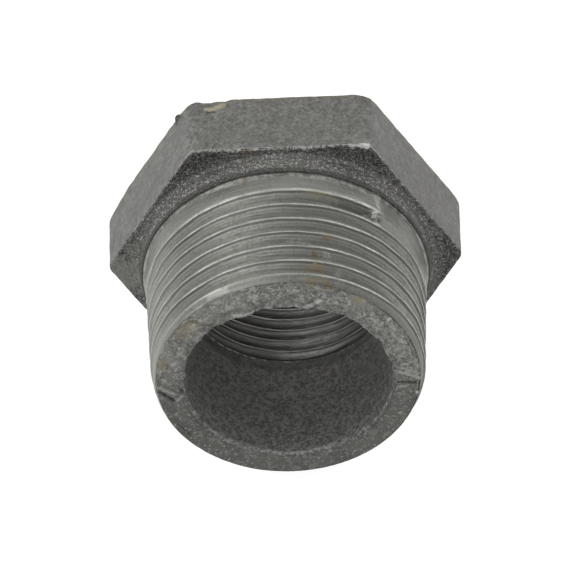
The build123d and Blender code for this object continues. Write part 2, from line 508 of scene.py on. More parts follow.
class Section:
    """Rows of the blank's skin, each with a radius, a place and an angle for every column."""

    def __init__(self, around):
        self.around = around
        self.strips = []

    def strip(self, radii, places, angles=None):
        """Adds neighbouring rows of the surface."""
        shape = (len(radii), len(self.around))
        radii = np.broadcast_to(np.asarray(radii, float), shape)
        places = np.broadcast_to(np.asarray(places, float), shape)
        angles = np.broadcast_to(self.around if angles is None else np.asarray(angles), shape)
        self.strips.append((radii, places, angles))

    def run(self, start, end, steps, turn=(0.0, 0.0), toward=None):
        """Straight rows from one (radius, place) to another."""
        along = np.linspace(0.0, 1.0, steps + 1)[:, None]
        self.rows(along, (start, end), (1 - along, along), turn, toward)

    def bend(self, start, corner, end, steps, turn=(0.0, 0.0), toward=None):
        """Rows round a soft corner, from start to end."""
        along = np.linspace(0.0, 1.0, steps + 1)[:, None]
        weights = ((1 - along) ** 2, 2 * along * (1 - along), along ** 2)
        self.rows(along, (start, corner, end), weights, turn, toward)

    def rows(self, along, points, weights, turn, toward):
        """Rows at weighted means of (radius, place) points. Their angles are drawn towards another set,
        by a share that goes from turn[0] to turn[1]."""
        radii, places = [sum(weight * np.broadcast_to(point[part], self.around.shape)
                             for weight, point in zip(weights, points)) for part in (0, 1)]
        angles = self.around
        if toward is not None:
            amount = turn[0] + (turn[1] - turn[0]) * along
            angles = self.around + amount * (toward - self.around)
        self.strip(radii, places, angles)

    def helix(self, low, high, pitch, crest, rows_per_pitch, radius_at, upward):
        """Rows that follow a screw thread, held back at both ends of their zone."""
        first = math.floor((low - crest) / pitch) - 1
        last = math.ceil((high - crest) / pitch) + 1
        index = np.arange(first * rows_per_pitch, last * rows_per_pitch + 1)[:, None]
        if not upward:
            index = index[::-1]
        places = crest + pitch * (index / rows_per_pitch + self.around / math.tau)
        places = np.clip(places, low, high)
        self.strip(radius_at(places), places)

    def mesh(self, name):
        """One closed mesh of all the strips."""
        rings = bmesh.new()
        for radii, places, angles in self.strips:
            points = np.stack([radii * np.sin(angles), places, radii * np.cos(angles)], axis=-1)
            grid = []
            for row in points:
                grid.append([rings.verts.new(point) for point in row])
            for below, above in zip(grid, grid[1:]):
                for i in range(len(self.around) - 1):
                    rings.faces.new((below[i], below[i + 1], above[i + 1], above[i]))
        bmesh.ops.remove_doubles(rings, verts=rings.verts, dist=MERGE)
        bmesh.ops.dissolve_degenerate(rings, edges=rings.edges, dist=MERGE / 4)
        bmesh.ops.recalc_face_normals(rings, faces=rings.faces)
        for face in rings.faces:
            face.smooth = True
        mesh = bpy.data.meshes.new(name)
        rings.to_mesh(mesh)
        rings.free()
        return mesh


def hexagon_columns(around, across_flats, corner_radius):
    """Angle and radius of the rounded hexagon's outline at each column, a flat at angle 0."""
    per_flat = COLUMNS // 6
    half = per_flat // 2
    column = np.arange(len(around))
    flat = np.floor((column + half) / per_flat)
    local = column - flat * per_flat
    along = np.abs(local) / half
    flat_share = 1 - CORNER_SHARE
    straight = (across_flats / 2 - corner_radius) * math.tan(math.radians(30))
    bend = np.clip((along - flat_share) / CORNER_SHARE, 0, 1) * math.radians(30)
    out = across_flats / 2 - corner_radius * (1 - np.cos(bend))
    side = np.clip(along / flat_share, 0, 1) * straight + corner_radius * np.sin(bend)
    angles = flat * math.tau / 6 + np.sign(local) * np.arctan2(side, out)
    return angles, np.hypot(out, side)


def ragged(around, waves):
    """An uneven line round the axis, from -1 to 1 or so, as a sum of a few waves."""
    return sum(share_of * np.sin(count * around + start) for count, share_of, start in waves)


def crest_radius(sizes, place):
    """Radius of the male thread's crest cone at a place along the axis."""
    from_end = place - MALE_END_Y
    return sizes.gauge_diameter / 2 + (from_end - sizes.gauge_length) * sizes.taper / 2


class Levels:
    """Places along the axis that several surfaces share."""

    def __init__(self, sizes):
        self.shoulder = OUTER_FACE_Y - sizes.hex_height
        self.collar_end = self.shoulder - sizes.collar_length
        self.thread_end = OUTER_FACE_Y - sizes.female_length
        self.end_face = MALE_END_Y + sizes.seam_height


class BUSHING_OT_cast_blank(bpy.types.Operator):
    """Makes the casting with its hexagon, collar, shank and bore, ready for its threads"""
    bl_idname = "bushing.cast_blank"
    bl_label = "Cast the blank"

    def execute(self, context):
        sizes = context.scene.bushing_blank
        section = Section(np.linspace(0.0, math.tau, COLUMNS + 1))
        self.head(section, sizes)
        self.shank(section, sizes)
        self.bore(section, sizes)
        mesh = section.mesh(PIECE)
        self.name_surfaces(mesh, sizes)
        piece = bpy.data.objects.new(PIECE, mesh)
        context.collection.objects.link(piece)
        return {"FINISHED"}

    def head(self, section, sizes):
        """The outer face, the crowned hexagon, the shoulder and the collar."""
        angles, radii = hexagon_columns(section.around, ACROSS_FLATS, sizes.hex_corner_radius)
        crown = ACROSS_FLATS * sizes.crown_share / 2
        crown = crown - sizes.crown_slip * np.maximum(-np.sin(angles), 0.0) ** 3
        fall = np.maximum(radii - crown, 0.0) * math.tan(sizes.crown_angle)
        flat_radius = np.minimum(radii, crown)
        slope = np.hypot(radii - flat_radius, fall)
        edge = sizes.face_edge
        on_slope = np.minimum(edge / np.maximum(slope, 1e-9), 1.0)
        past = np.maximum(edge - slope, 0.0)
        edge_start = (radii + (flat_radius - radii) * on_slope - past,
                      OUTER_FACE_Y - fall * (1 - on_slope))
        crown_start = (np.where(slope > edge, flat_radius, edge_start[0]), OUTER_FACE_Y)
        side_top = OUTER_FACE_Y - fall
        level = Levels(sizes)
        shoulder, collar_end = level.shoulder, level.collar_end
        collar_end_radius = crest_radius(sizes, collar_end) + sizes.collar_stock
        collar_radius = collar_end_radius + sizes.collar_length * math.tan(sizes.collar_draft)
        near = sizes.shoulder_edge
        root = sizes.collar_root
        soft = 0.3 * MM
        full = {"turn": (1.0, 1.0), "toward": angles}

        section.run((sizes.countersink_diameter / 2, OUTER_FACE_Y), crown_start, 8,
                    (0.0, 1.0), angles)
        section.run(crown_start, edge_start, 3, **full)
        section.bend(edge_start, (radii, side_top), (radii, side_top - edge), 4, **full)
        section.run((radii, side_top - edge), (radii, shoulder + near), 14, **full)
        section.bend((radii, shoulder + near), (radii, shoulder), (radii - near, shoulder),
                     4, **full)
        section.run((radii - near, shoulder), (collar_radius + root, shoulder), 7,
                    (1.0, 0.0), angles)
        section.bend((collar_radius + root, shoulder), (collar_radius, shoulder),
                     (collar_radius - root * math.tan(sizes.collar_draft), shoulder - root), 4)
        step = crest_radius(sizes, collar_end)
        before_step = (collar_end_radius + soft * math.tan(sizes.collar_draft), collar_end + soft)
        section.run((collar_radius - root * math.tan(sizes.collar_draft), shoulder - root),
                    before_step, 8)
        section.bend(before_step, (collar_end_radius, collar_end),
                     (collar_end_radius - soft, collar_end), 4)
        section.run((collar_end_radius - soft, collar_end), (step, collar_end), 2)

    def shank(self, section, sizes):
        """The crest surface that the male thread is cut into, its lead chamfer and the end face."""
        thread = bpy.context.scene.bushing_male
        level = Levels(sizes)
        end = level.end_face
        chamfer_top = MALE_END_Y + sizes.lead_length
        slope = sizes.lead_depth / sizes.lead_length
        end_radius = crest_radius(sizes, MALE_END_Y) - sizes.lead_depth

        def radius_at(place):
            crest = crest_radius(sizes, place)
            chamfer = crest_radius(sizes, chamfer_top) - (chamfer_top - place) * slope
            return np.minimum(crest, chamfer)

        section.helix(end, level.collar_end, thread.pitch, thread.first_crest,
                      MALE_ROWS_PER_PITCH, radius_at, upward=False)
        mouth = self.mouth_radius(section.around, sizes, MALE_END_Y) + sizes.mouth_chamfer
        section.run((radius_at(end), end), (end_radius, end), 1)
        section.run((end_radius, end), (mouth, end), 16)

    def mouth_radius(self, around, sizes, place):
        """Radius of the cored waterway, low and ragged at its mouth and round at the thread."""
        thread_end = Levels(sizes).thread_end
        open_share = (thread_end - place) / (thread_end - MALE_END_Y)
        mean = sizes.minor_diameter + (sizes.mouth_diameter - sizes.minor_diameter) * open_share
        sag = sizes.mouth_drop * np.cos(around) + sizes.mouth_oval / 2 * np.cos(2 * around)
        edge_share = np.clip((open_share - (1 - BROKEN_SHARE)) / BROKEN_SHARE, 0.0, 1.0) ** 2
        broken = sizes.mouth_ragged * ragged(around, MOUTH_WAVES)
        for middle, half_width, reach in MOUTH_FLASH:
            off = (np.degrees(around) - middle + 180) % 360 - 180
            broken = broken + reach * MM * np.exp(-(off / half_width) ** 2)
        return mean / 2 - sag * np.clip(open_share, 0.0, 1.0) - broken * edge_share

    def name_surfaces(self, mesh, sizes):
        """Stores what each point belongs to, for the thread tools and the finish."""
        points = np.empty(len(mesh.vertices) * 3)
        mesh.vertices.foreach_get("co", points)
        x, y, z = points.reshape(-1, 3).T
        radius = np.hypot(x, z)
        level = Levels(sizes)
        near = 1.5 * MERGE
        inside = radius < sizes.countersink_diameter / 2 + near
        faced = y < level.end_face + near
        surfaces = {
            "end_face": faced,
            "outside_thread": ~inside & ~faced & (y < level.collar_end + near),
            "waterway": inside & ~faced & (y < level.thread_end - near),
            "inside_thread": inside & (y > level.thread_end - near),
        }
        for name, chosen in surfaces.items():
            layer = mesh.attributes.new(name, "FLOAT", "POINT")
            layer.data.foreach_set("value", chosen.astype(np.float32))

    def bore(self, section, sizes):
        """The mouth, the cored waterway, the female crest surface and the countersink."""
        thread = bpy.context.scene.bushing_female
        around = section.around
        level = Levels(sizes)
        end, thread_end = level.end_face, level.thread_end
        minor = sizes.minor_diameter / 2
        countersink = sizes.countersink_diameter / 2
        thread_top = OUTER_FACE_Y - (countersink - minor)
        inner_end = end + sizes.mouth_chamfer
        mouth = self.mouth_radius(around, sizes, MALE_END_Y)
        section.run((mouth + sizes.mouth_chamfer, end), (mouth, inner_end), 3)

        places = np.linspace(inner_end, thread_end, 19)[:, None] * np.ones_like(around)
        radii = self.mouth_radius(around, sizes, places)
        radii[0] = mouth
        section.strip(radii, places)
        # The last crest is named on the lower side, half a turn from the top.
        crest = thread.last_crest - thread.pitch / 2
        section.helix(thread_end, thread_top, thread.pitch, crest,
                      FEMALE_ROWS_PER_PITCH, lambda place: np.full_like(place, minor), upward=True)
        section.run((minor, thread_top), (countersink, OUTER_FACE_Y), 4)


# ---------------------------------------------------------------- threads

def whitworth_curve(curve):
    """Sets a float curve to the depth of the groove from crest, at 0, to root, at 1."""
    arc_width = THREAD_RADIUS * math.cos(THREAD_HALF_ANGLE)
    arc_depth = THREAD_RADIUS * (1 - math.sin(THREAD_HALF_ANGLE))
    corners = [(0.0, 0.0)]
    steps = 3
    for step in range(1, steps + 1):
        across = arc_width * step / steps
        drop = THREAD_RADIUS - math.sqrt(THREAD_RADIUS ** 2 - across ** 2)
        corners.append((across, min(drop, arc_depth)))
    corners += [(0.5 - across, THREAD_DEPTH - drop) for across, drop in reversed(corners)]
    points = curve.points
    while len(points) < len(corners):
        points.new(0.5, 0.5)
    for point, (across, drop) in zip(points, corners):
        point.location = (across / 0.5, drop / THREAD_DEPTH)
        point.handle_type = "VECTOR"


def thread_tree():
    """Cuts a helical groove into the rows of one zone, moving them towards or from the axis."""
    number = "NodeSocketFloat"
    tree = group_tree("cut_pipe_thread", {
        "Zone": ("NodeSocketString", ""),
        "Pitch": (number, 2.309 * MM),
        "Depth share": (number, 1.0),
        "Crest place": (number, 0.0),
        "Direction": (number, -1.0),
        "Run-out place": (number, 0.0),
        "Run-out sense": (number, 1.0),
        "Run-out length": (number, 1.0),
        "Run-out depth": (number, 0.5),
        "End place": (number, 0.0),
        "End fade": (number, MM),
        "End depth": (number, 0.0),
        "Wear": (number, 0.0),
        "Tool ridge": (number, 0.0),
        "Seed": ("NodeSocketInt", 1),
        "Material": ("NodeSocketMaterial", None),
    })
    w = Wiring(tree)
    given = tree.nodes.new("NodeGroupInput").outputs
    position = w.add("GeometryNodeInputPosition")
    x, y, z = w.split(position)
    turns = w.over(w.math("ARCTAN2", x, z), math.tau)
    climb = w.over(w.minus(y, given["Crest place"]), given["Pitch"])
    wound = w.minus(climb, turns)
    off_crest = w.minus(wound, w.math("ROUND", wound))

    curve = tree.nodes.new("ShaderNodeFloatCurve")
    whitworth_curve(curve.mapping.curves[0])
    curve.mapping.update()
    w.feed(curve.inputs["Value"], w.times(w.size(off_crest), 2.0))
    form = curve.outputs[0]

    # Where the groove's own middle is along the axis says how far the tool has still to run.
    groove = w.plus(w.math("FLOOR", wound), 0.5, turns)
    stop = w.over(w.minus(given["Run-out place"], given["Crest place"]), given["Pitch"])
    torn = w.swing(w.noise(w.seeded(position, (13.1, 7.7, 3.3), given["Seed"]), 2.2), 0.07)
    left = w.times(w.minus(w.plus(stop, torn), groove), given["Run-out sense"])
    shallow = w.ramp(w.over(left, given["Run-out length"]), 0.0, 1.0,
                     given["Run-out depth"], 1.0, smooth=False)
    runs = w.times(shallow, w.math("GREATER_THAN", left, 0.0))
    from_end = w.over(w.size(w.minus(y, given["End place"])), given["End fade"])
    opened = w.ramp(from_end, 0.0, 1.0, given["End depth"], 1.0, smooth=False)
    full = w.times(given["Pitch"], THREAD_DEPTH, given["Depth share"])
    depth = w.times(w.times(form, runs, opened), full)

    # A ridge left by the tool part of the way down the leading flank, broken along its length.
    broken = w.ramp(w.noise(w.xyz(w.times(turns, 40.0), wound, 0.0), 1.0), 0.4, 0.6)
    beside = w.size(w.plus(off_crest, 0.3))
    ridge = w.times(w.ramp(beside, 0.0, 0.06, 1.0, 0.0), w.times(broken, runs))
    depth = w.minus(depth, w.times(ridge, given["Tool ridge"]))
    # Crests are worn unevenly along their length.
    along = w.xyz(w.times(turns, 24.0), w.times(climb, 1.5), given["Seed"])
    worn = w.times(w.ramp(w.noise(along, 1.0, 3.0, 0.6), 0.35, 0.75), given["Wear"])
    depth = w.larger(w.plus(depth, w.times(worn, w.minus(1.0, form))), 0.0)

    chosen = w.math("GREATER_THAN", w.stored(given["Zone"]), 0.5)
    reach = w.times(depth, given["Direction"], chosen)
    radial = w.vector("NORMALIZE", w.xyz(x, 0.0, z))
    cut = w.add("GeometryNodeSetPosition", {
        "Geometry": given["Geometry"], "Offset": w.vector("SCALE", radial, scale=reach)})
    finish_tree(w, cut, given["Material"])
    return tree


def shared_tree(name, build):
    """A tree by name, built the first time that it is asked for."""
    return bpy.data.node_groups.get(name) or build()


def cut_thread(zone, thread, crest, stop, end, inward, seed):
    """Cuts one thread. inward is 1 where the groove goes towards the axis and runs out towards the
    hexagon, and -1 where both are the other way."""
    apply_tree(casting(), shared_tree("cut_pipe_thread", thread_tree), {
        "Zone": zone,
        "Pitch": thread.pitch,
        "Depth share": thread.depth_share,
        "Crest place": crest,
        "Direction": -inward,
        "Run-out place": stop,
        "Run-out sense": inward,
        "Run-out length": thread.runout_length,
        "Run-out depth": thread.runout_left,
        "End place": end,
        "End fade": thread.end_fade,
        "End depth": thread.end_left,
        "Wear": thread.wear,
        "Tool ridge": thread.tool_ridge,
        "Seed": seed,
        "Material": iron(),
    })


class BUSHING_OT_cut_male_thread(bpy.types.Operator):
    """Cuts the tapered outside thread from the male end up to its torn run-out"""
    bl_idname = "bushing.cut_male_thread"
    bl_label = "Cut the male thread"

    def execute(self, context):
        thread = context.scene.bushing_male
        stop = thread.first_crest + thread.pitch * (thread.runout_turn / math.tau - 0.5)
        cut_thread("outside_thread", thread, thread.first_crest, stop, MALE_END_Y, inward=1.0, seed=3)
        return {"FINISHED"}


class BUSHING_OT_cut_female_thread(bpy.types.Operator):
    """Cuts the parallel inside thread from the countersink down to its run-out in the bore"""
    bl_idname = "bushing.cut_female_thread"
    bl_label = "Cut the female thread"

    def execute(self, context):
        thread, blank = context.scene.bushing_female, context.scene.bushing_blank
        crest = thread.last_crest - thread.pitch / 2
        stop = crest + thread.pitch * (thread.runout_turn / math.tau + 0.5)
        thread_top = OUTER_FACE_Y - (blank.countersink_diameter - blank.minor_diameter) / 2
        cut_thread("inside_thread", thread, crest, stop, thread_top, inward=-1.0, seed=11)
        return {"FINISHED"}


# ---------------------------------------------------------------- cast skin

def knock(w, point, at, radius, depth):
    """Sinks the surface towards the axis round one place, with a ragged edge."""
    away = w.vector("SUBTRACT", point, tuple(part * MM for part in at))
    reach = w.vector("LENGTH", away, output=1)
    uneven = w.times(w.noise(w.vector("SCALE", point, scale=2.5 / MM), 1.0), 0.7)
    share_sunk = w.ramp(w.plus(w.over(reach, radius * MM), uneven), 0.6, 1.35, 1.0, 0.0)
    inward = w.vector("NORMALIZE", w.vector("MULTIPLY", point, (-1.0, 0.0, -1.0)))
    return w.vector("ADD", point, w.vector("SCALE", inward, scale=w.times(share_sunk, depth * MM)))


def rim_marks():
    """The marks of the end face with their ends as points."""
    for start_turn, start_radius, end_turn, end_radius, half_width, height in RIM_MARKS:
        ends = []
        for turn, radius in ((start_turn, start_radius), (end_turn, end_radius)):
            turn = math.radians(turn)
            ends.append(Vector((radius * math.sin(turn), 0.0, radius * math.cos(turn))) * MM)
        yield ends[0], ends[1], half_width * MM, height * MM


def rim_mark(w, point, start, end, half_width, height):
    """The height of one ragged line on the end face."""
    level = w.vector("MULTIPLY", point, (1.0, 0.0, 1.0))
    along = end - start
    from_start = w.vector("SUBTRACT", level, tuple(start))
    dot = w.vector("DOT_PRODUCT", from_start, tuple(along), output=1)
    share_along = w.ramp(dot, 0.0, along.length_squared, smooth=False)
    nearest = w.vector("SCALE", tuple(along), scale=share_along)
    away = w.vector("LENGTH", w.vector("SUBTRACT", from_start, nearest), output=1)
    uneven = w.ramp(w.noise(w.vector("SCALE", point, scale=1.4 / MM), 1.0), 0.3, 0.7, 0.6, 1.2)
    line = w.ramp(w.over(away, half_width), 0.0, 1.2, 1.0, 0.0)
    return w.times(line, uneven, height)


def skin_tree():
    """Sinks the surface here and there, more where it is as cast, and raises the end face's seams."""
    number = "NodeSocketFloat"
    tree = group_tree("roughen_cast_skin", {
        "Lump height": (number, 0.1 * MM),
        "Lump size": (number, 2.6),
        "Pit height": (number, 0.06 * MM),
        "Pit size": (number, 0.9),
        "Seed": ("NodeSocketInt", 7),
        "Material": ("NodeSocketMaterial", None),
    })
    w = Wiring(tree)
    given = tree.nodes.new("NodeGroupInput").outputs
    position = w.add("GeometryNodeInputPosition")
    seeded = w.seeded(position, (5.3, 2.9, 8.1), given["Seed"])
    lumps = w.noise(seeded, w.over(1.0, given["Lump size"]), 2.0, 0.5)
    pits = w.noise(seeded, w.over(1.0, given["Pit size"]), 3.0, 0.65)
    cut, faced = w.larger(w.stored("outside_thread"), w.stored("inside_thread")), w.stored("end_face")
    amount = w.minus(w.minus(1.0, w.times(cut, 0.85)), w.times(faced, 0.45))
    sink = w.plus(w.times(lumps, given["Lump height"]),
                  w.times(w.ramp(pits, 0.35, 0.75), given["Pit height"]))
    sink = w.times(sink, amount, -1.0)
    normal = w.add("GeometryNodeInputNormal")
    sunk = w.vector("ADD", position, w.vector("SCALE", normal, scale=sink))
    for at, radius, depth in KNOCKS:
        sunk = knock(w, sunk, at, radius, depth)
    relief = 0.0
    for start, end, half_width, height in rim_marks():
        relief = w.plus(relief, rim_mark(w, position, start, end, half_width, height))
    relief = w.times(relief, faced)
    raised = w.vector("SUBTRACT", sunk, w.xyz(0.0, relief, 0.0))
    kept = w.vector("MINIMUM", w.vector("MAXIMUM", raised, tuple(LOW)), tuple(HIGH))
    noted = w.store(given["Geometry"], "relief", w.over(relief, MM))
    moved = w.add("GeometryNodeSetPosition", {"Geometry": noted, "Position": kept})
    finish_tree(w, moved, given["Material"])
    return tree


class BUSHING_OT_roughen_skin(bpy.types.Operator):
    """Gives the casting its sand-cast unevenness and the marks of its mould"""
    bl_idname = "bushing.roughen_skin"
    bl_label = "Roughen the skin"

    def execute(self, context):
        skin = context.scene.bushing_skin
        apply_tree(casting(), shared_tree("roughen_cast_skin", skin_tree), {
            "Lump height": skin.lump_height,
            "Lump size": skin.lump_size / MM,
            "Pit height": skin.pit_height,
            "Pit size": skin.pit_size / MM,
            "Seed": skin.seed,
            "Material": iron(),
        })
        return {"FINISHED"}


# ---------------------------------------------------------------- finish

def iron():
    """The bushing's one material, made the first time that it is asked for."""
    return bpy.data.materials.get(IRON) or make_iron()


class IronWiring(Wiring):
    """The iron's tree, with the places and grains that its surfaces share, in millimetres."""

    def __init__(self, tree):
        super().__init__(tree)
        self.blank = bpy.context.scene.bushing_blank
        self.level = Levels(self.blank)
        colours = bpy.context.scene.bushing_finish
        self.rgb = {name: (*getattr(colours, name), 1.0) for name in FinishColours.__annotations__}
        self.place = self.vector("SCALE", self.add("ShaderNodeTexCoord", output=3), scale=1 / MM)
        x, self.y, self.z = self.split(self.place)
        self.turn = self.math("ARCTAN2", x, self.z)
        self.radius = self.vector("LENGTH", self.xyz(x, 0.0, self.z), output=1)
        # Sand grain in three sizes, and broad blotches
        self.blotch = self.noise(self.place, 0.4, 3.0, 0.6)
        self.coarse = self.noise(self.place, 1.5, 2.0, 0.6)
        self.grain = self.noise(self.place, 2.7, 2.0, 0.65)
        self.sand = self.noise(self.vector("ADD", self.place, (31.0, 7.0, 13.0)), 4.4, 1.5, 0.6)
        # Bright grains, where glints are painted
        self.bright = self.times(self.ramp(self.sand, 0.56, 0.64), self.ramp(self.grain, 0.5, 0.58))
        # Burnt-on sand, with painted shade on the shoulder, starts just behind the hexagon's front edge
        shoulder = self.level.shoulder / MM
        self.burnt = self.ramp(self.y, shoulder + 0.36, shoulder + 0.22)

    def stored(self, name):
        """A number stored on the mesh's points."""
        return self.add("ShaderNodeAttribute", output=2, attribute_name=name)

    def tint(self, base, amount, name):
        """A colour mixed with one of the finish's own."""
        return self.blend(amount, base, self.rgb[name])


def make_iron():
    """Black malleable iron: cast skin, cut threads, end face and scaled bore in one material."""
    material = bpy.data.materials.new(IRON)
    w = IronWiring(empty_tree(material))
    thread, end_face, waterway, tapped = [w.stored(name) for name in (
        "outside_thread", "end_face", "waterway", "inside_thread")]
    # The female thread's last turns are torn, and bare iron shows there.
    thread_end = w.level.thread_end / MM
    torn = w.plus(w.y, w.swing(w.coarse, 2.4))
    tapping = w.ramp(torn, thread_end + 0.9, thread_end + 1.1)

    lip_highlight, bore = lip_mask(w), bore_colour(w)
    base = w.blend(thread, skin_colour(w), metal_colour(w))
    base = w.blend(end_face, base, face_colour(w, lip_highlight))
    base = w.blend(waterway, base, bore)
    base = w.blend(tapped, base, tapped_colour(w, bore, tapping))
    # Painted highlight on the end face's raised marks, and painted shade in its sunk ones
    relief = w.stored("relief")
    base = w.tint(base, w.ramp(relief, 0.03, 0.2, 0.0, 0.4), "speck_and_highlight")
    base = w.tint(base, w.ramp(relief, -0.03, -0.2, 0.0, 0.75), "crust_dark")
    # Painted highlight along the mouth's edge, inside the waterway
    base = w.tint(base, w.times(lip_highlight, waterway), "speck_and_highlight")
    base = stained(w, base)

    tapped = w.times(tapped, tapping)
    cut = w.larger(thread, tapped)
    finish_shader(w, "Material", w.add("ShaderNodeBsdfPrincipled", {
        "Base Color": base, "Metallic": 0.8, "Roughness": roughness(w, cut, tapped),
        "Normal": fine_relief(w, cut)}))
    return material


def skin_colour(w):
    """An even grey with soft grain and painted glints, burnt-on sand and painted shade at the shoulder
    and collar, and a painted highlight and stain on the hexagon's edges.
    """
    skin = w.tint(w.rgb["skin"], w.ramp(w.grain, 0.38, 0.58, 0.6, 0.0), "skin_dark")
    skin = w.tint(skin, w.ramp(w.coarse, 0.4, 0.65, 0.0, 0.14), "speck_and_highlight")
    skin = w.tint(skin, w.ramp(w.blotch, 0.35, 0.7, 0.3, 0.0), "skin_dark")
    skin = w.tint(skin, w.times(w.bright, 0.22), "speck_and_highlight")
    return edge_highlight_and_stain(w, w.blend(w.burnt, skin, crust_colour(w)))


def crust_colour(w):
    """Coarse burnt-on sand, dark on the shoulder partly as painted shade, painted lighter and with
    painted glints on the collar, and with painted shade at the collar's end.
    """
    wavy = w.plus(w.radius, w.swing(w.coarse, 2.5))
    collar = w.times(w.burnt, w.ramp(wavy, 19.6, 17.6))
    crust_and_shade = w.tint(w.rgb["crust_dark"], w.ramp(w.grain, 0.36, 0.6), "crust_and_shade")
    crust_and_shade = w.tint(crust_and_shade, w.times(w.ramp(w.coarse, 0.42, 0.62), 0.4), "crust_dark")
    # The collar painted lighter than the shoulder as painted light, with painted glints on its grains
    crust_and_shade = w.tint(crust_and_shade, w.times(collar, 0.5), "skin")
    lit = w.times(w.ramp(w.sand, 0.46, 0.64), w.ramp(w.grain, 0.42, 0.58),
                  w.ramp(collar, 0.0, 1.0, 0.35, 0.7, smooth=False))
    crust_and_shade = w.tint(crust_and_shade, lit, "speck_and_highlight")
    # Painted shade at the collar's end, where it steps down to the thread
    collar_end = w.level.collar_end / MM
    return w.tint(crust_and_shade, w.times(w.ramp(w.y, collar_end + 0.95, collar_end + 0.25), 0.7), "crust_dark")


def edge_highlight_and_stain(w, skin):
    """The hexagon's edges: a broken painted highlight along the front ones, brightest on top, and a
    yellowed stain behind.
    """
    half_flats = ACROSS_FLATS / 2 / MM
    # Painted highlight along the front edges, brightest on top
    front = w.times(w.ramp(w.size(w.minus(w.y, w.level.shoulder / MM + 0.32)), 0.0, 0.3, 1.0, 0.0),
                    w.ramp(w.radius, half_flats - 0.5, half_flats - 0.2),
                    w.ramp(w.grain, 0.4, 0.62, 0.05, 0.65),
                    w.ramp(w.z, half_flats - 4.5, half_flats - 0.5, 0.3, 1.0))
    skin = w.tint(skin, front, "speck_and_highlight")
    from_axis = w.larger(*[
        w.size(w.vector("DOT_PRODUCT", w.place, (math.sin(flat), 0.0, math.cos(flat)), output=1))
        for flat in (0.0, math.tau / 6, math.tau / 3)])
    outer_face = OUTER_FACE_Y / MM
    back = w.times(w.ramp(w.y, outer_face - 1.0, outer_face - 0.1),
                   w.ramp(w.blotch, 0.35, 0.6, 0.15, 0.55),
                   w.ramp(from_axis, half_flats - 0.6, half_flats - 0.2))
    return w.tint(skin, back, "oil")


def metal_colour(w):
    """The outside thread's cut metal, smeared beside the collar and worn on the lead chamfer, with a
    painted highlight on its left side.
    """
    male = bpy.context.scene.bushing_male
    male_end, collar_end = MALE_END_Y / MM, w.level.collar_end / MM
    metal = thread_colour(w, male.first_crest / MM, male.pitch / MM, male.runout_turn)
    metal = w.tint(metal, w.ramp(w.grain, 0.52, 0.66, 0.0, 0.25), "root")
    smear = w.times(w.ramp(w.y, collar_end - 0.9, collar_end - 0.1), w.ramp(w.coarse, 0.44, 0.58), 0.5)
    metal = w.tint(metal, smear, "crest")
    # Painted highlight on the left side of the thread
    metal = w.tint(metal, w.ramp(w.turn, -0.7, -1.5, 0.0, 0.4), "crest")
    worn = w.tint(w.rgb["thread"], w.ramp(w.grain, 0.4, 0.62, 0.55, 0.0), "root")
    # Painted highlight on the left of the lead chamfer
    worn = w.tint(worn, w.ramp(w.turn, 0.2, -1.4, 0.0, 0.35), "crest")
    chamfered = w.ramp(w.y, male_end + 1.35, male_end + 0.95)
    return w.blend(w.times(chamfered, 0.7), metal, worn)


def lip_mask(w):
    """A highlight painted along the broken edge of the waterway's mouth."""
    male_end = MALE_END_Y / MM
    mouth = w.plus(w.blank.mouth_diameter / MM / 2,
                   w.times(w.math("COSINE", w.turn), -w.blank.mouth_drop / MM))
    return w.times(w.ramp(w.size(w.minus(w.radius, mouth)), 0.1, 0.38, 1.0, 0.0),
                   w.ramp(w.y, male_end + 0.7, male_end + 0.35),
                   w.ramp(w.grain, 0.42, 0.6, 0.05, 0.55))


def face_colour(w, lip_highlight):
    """The end face: smeared, with painted light above and painted shade below."""
    # Smears laid on more towards the top, as part of the painted light
    smeared = w.ramp(w.z, -6.0, 5.0, 0.3, 1.0)
    face = w.tint(w.rgb["end_face"], w.ramp(w.z, 5.0, -7.0), "end_face_painted_shade")
    face = w.tint(face, w.ramp(w.grain, 0.4, 0.6, 0.8, 0.0), "skin_dark")
    face = w.tint(face, w.times(w.ramp(w.blotch, 0.42, 0.6, 0.0, 0.4), smeared), "thread")
    face = w.tint(face, w.times(w.ramp(w.coarse, 0.5, 0.66, 0.0, 0.45), smeared), "crest")
    # Painted glints on bright grains, and a painted highlight along the mouth's edge
    face = w.tint(face, w.times(w.bright, 0.6), "speck_and_highlight")
    return w.tint(face, lip_highlight, "speck_and_highlight")


def bore_colour(w):
    """The cored waterway: dark scale with lighter grains and painted glints."""
    mixed = w.times(w.plus(w.grain, w.sand, w.coarse), 1 / 3)
    bore = w.tint(w.rgb["waterway"], w.ramp(mixed, 0.4, 0.6), "waterway_grain")
    return w.tint(bore, w.times(w.bright, 0.35), "end_face")


def tapped_colour(w, bore, tapping):
    """The female thread, and the land below its torn end, darkened as a painted shadow."""
    female = bpy.context.scene.bushing_female
    crest = (female.last_crest - female.pitch / 2) / MM
    return w.blend(tapping, w.tint(bore, 0.5, "waterway"), thread_colour(w, crest, female.pitch / MM))


def stained(w, base):
    """The stains and bright spots, laid on with uneven edges."""
    uneven = w.swing(w.coarse, 1.6)
    for name, centre, size, amount in STAINS:
        away = w.vector("DIVIDE", w.vector("SUBTRACT", w.place, centre), size)
        near = w.plus(w.vector("LENGTH", away, output=1), uneven)
        base = w.tint(base, w.ramp(near, 0.55, 1.15, amount, 0.0), name)
    return base


def roughness(w, cut, tapped):
    """Satin cut metal, duller skin, and the dullest in the cored bore."""
    cored = w.ramp(w.radius, 13.3, 12.9)
    return w.plus(w.ramp(cut, 0.0, 1.0, 0.55, 0.4, smooth=False), w.ramp(w.grain, 0.3, 0.7, -0.1, 0.1),
                  w.times(w.minus(cored, tapped), 0.2))


